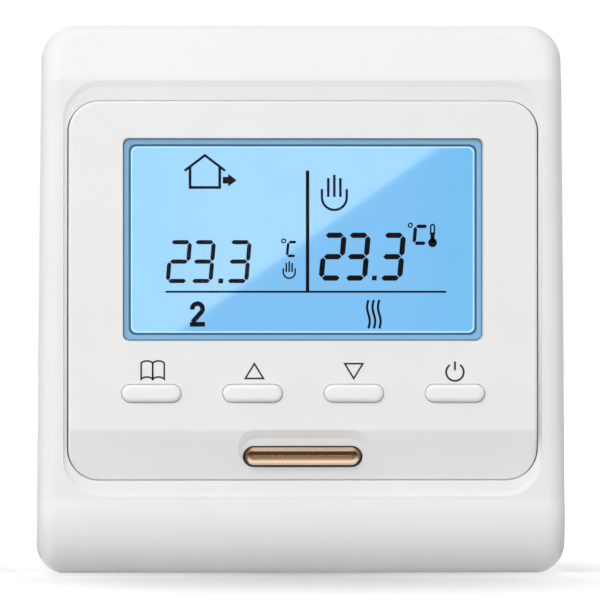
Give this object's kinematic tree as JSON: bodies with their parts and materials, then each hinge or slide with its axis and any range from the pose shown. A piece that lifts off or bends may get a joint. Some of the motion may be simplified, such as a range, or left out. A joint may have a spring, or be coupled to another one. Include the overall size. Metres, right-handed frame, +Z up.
{
  "type": "wall thermostat",
  "caption": "Flush wall thermostat with a backlit display, push buttons, a plug-on frame and front unit, and a rear box with screw terminals.",
  "frame": {"origin": "on the wall plane, at the back of the wall plate, midway between the two wall screws", "axes": "+Z up the wall, +Y into the wall, so the front faces -Y, and +X to the right as seen from the front"},
  "size_m": [0.0872, 0.0417, 0.0903],
  "materials": {
    "frame_white": "satin moulded, very fine texture",
    "panel_white": "satin moulded, very fine texture",
    "button_white": "satin",
    "base_white": "satin moulded",
    "window_clear": "clear polished",
    "trim_metal": "anodised rose gold, polished",
    "lcd_glass": "polished",
    "polariser_film": "smooth film",
    "guide_clear": "polished",
    "film_white": "frosted",
    "led_body": "moulded",
    "strip_rubber": "striped elastomer",
    "holder_white": "moulded",
    "board_green": "solder mask over glass fibre",
    "chip_black": "moulded",
    "can_steel": "plated",
    "sensor_bead": "dipped",
    "switch_black": "moulded",
    "screw_steel": "zinc plated",
    "terminal_green": "moulded",
    "clamp_brass": "plated",
    "pin_gold": "plated",
    "relay_blue": "moulded",
    "winding_tape": "tape over copper",
    "capacitor_sleeve": "shrunk sleeve",
    "film_yellow": "moulded",
    "varistor_blue": "dipped",
    "fuse_black": "moulded"
  },
  "bodies": {
    "base": {"wall_plate": "base_white", "rear_housing": "base_white", "housing_screws": "screw_steel", "power_board": "board_green", "relay": "relay_blue", "transformer": "winding_tape", "smoothing_capacitor": "capacitor_sleeve", "suppression_capacitor": "film_yellow", "varistor": "varistor_blue", "fuse": "fuse_black", "rectifier": "chip_black", "regulator": "chip_black", "terminal_block": "terminal_green", "terminal_clamps": "clamp_brass", "terminal_screws": "screw_steel", "header_body": "chip_black", "header_pins": "pin_gold"},
    "frame": {"outer_frame": "frame_white"},
    "front_unit": {"front_panel": "panel_white", "display_window": "window_clear", "trim_bar": "trim_metal", "front_polariser": "polariser_film", "lcd_front_glass": "lcd_glass", "lcd_rear_glass": "lcd_glass", "rear_polariser": "polariser_film", "backlight_diffuser": "film_white", "backlight_guide": "guide_clear", "backlight_leds": "led_body", "zebra_strip": "strip_rubber", "lcd_holder": "holder_white", "control_board": "board_green", "microcontroller": "chip_black", "memory_chip": "chip_black", "clock_crystal": "can_steel", "air_sensor": "sensor_bead", "tact_switches": "switch_black", "board_socket": "chip_black", "panel_screws": "screw_steel"},
    "menu_key": {"menu_button": "button_white", "menu_switch_stem": "switch_black"},
    "up_key": {"up_button": "button_white", "up_switch_stem": "switch_black"},
    "down_key": {"down_button": "button_white", "down_switch_stem": "switch_black"},
    "power_key": {"power_button": "button_white", "power_switch_stem": "switch_black"}
  },
  "joints": [
    {"name": "frame_pull", "type": "slide", "parent": "base", "child": "frame", "axis": [0, -1, 0], "range_m": [0, 0.02]},
    {"name": "front_unit_pull", "type": "slide", "parent": "base", "child": "front_unit", "axis": [0, -1, 0], "range_m": [0, 0.02]},
    {"name": "menu_press", "type": "slide", "parent": "front_unit", "child": "menu_key", "axis": [0, 1, 0], "range_m": [0, 0.0005], "stiffness_N_per_m": 1000, "springref_m": -0.0006},
    {"name": "up_press", "type": "slide", "parent": "front_unit", "child": "up_key", "axis": [0, 1, 0], "range_m": [0, 0.0005], "stiffness_N_per_m": 1000, "springref_m": -0.0006},
    {"name": "down_press", "type": "slide", "parent": "front_unit", "child": "down_key", "axis": [0, 1, 0], "range_m": [0, 0.0005], "stiffness_N_per_m": 1000, "springref_m": -0.0006},
    {"name": "power_press", "type": "slide", "parent": "front_unit", "child": "power_key", "axis": [0, 1, 0], "range_m": [0, 0.0005], "stiffness_N_per_m": 1000, "springref_m": -0.0006}
  ]
}
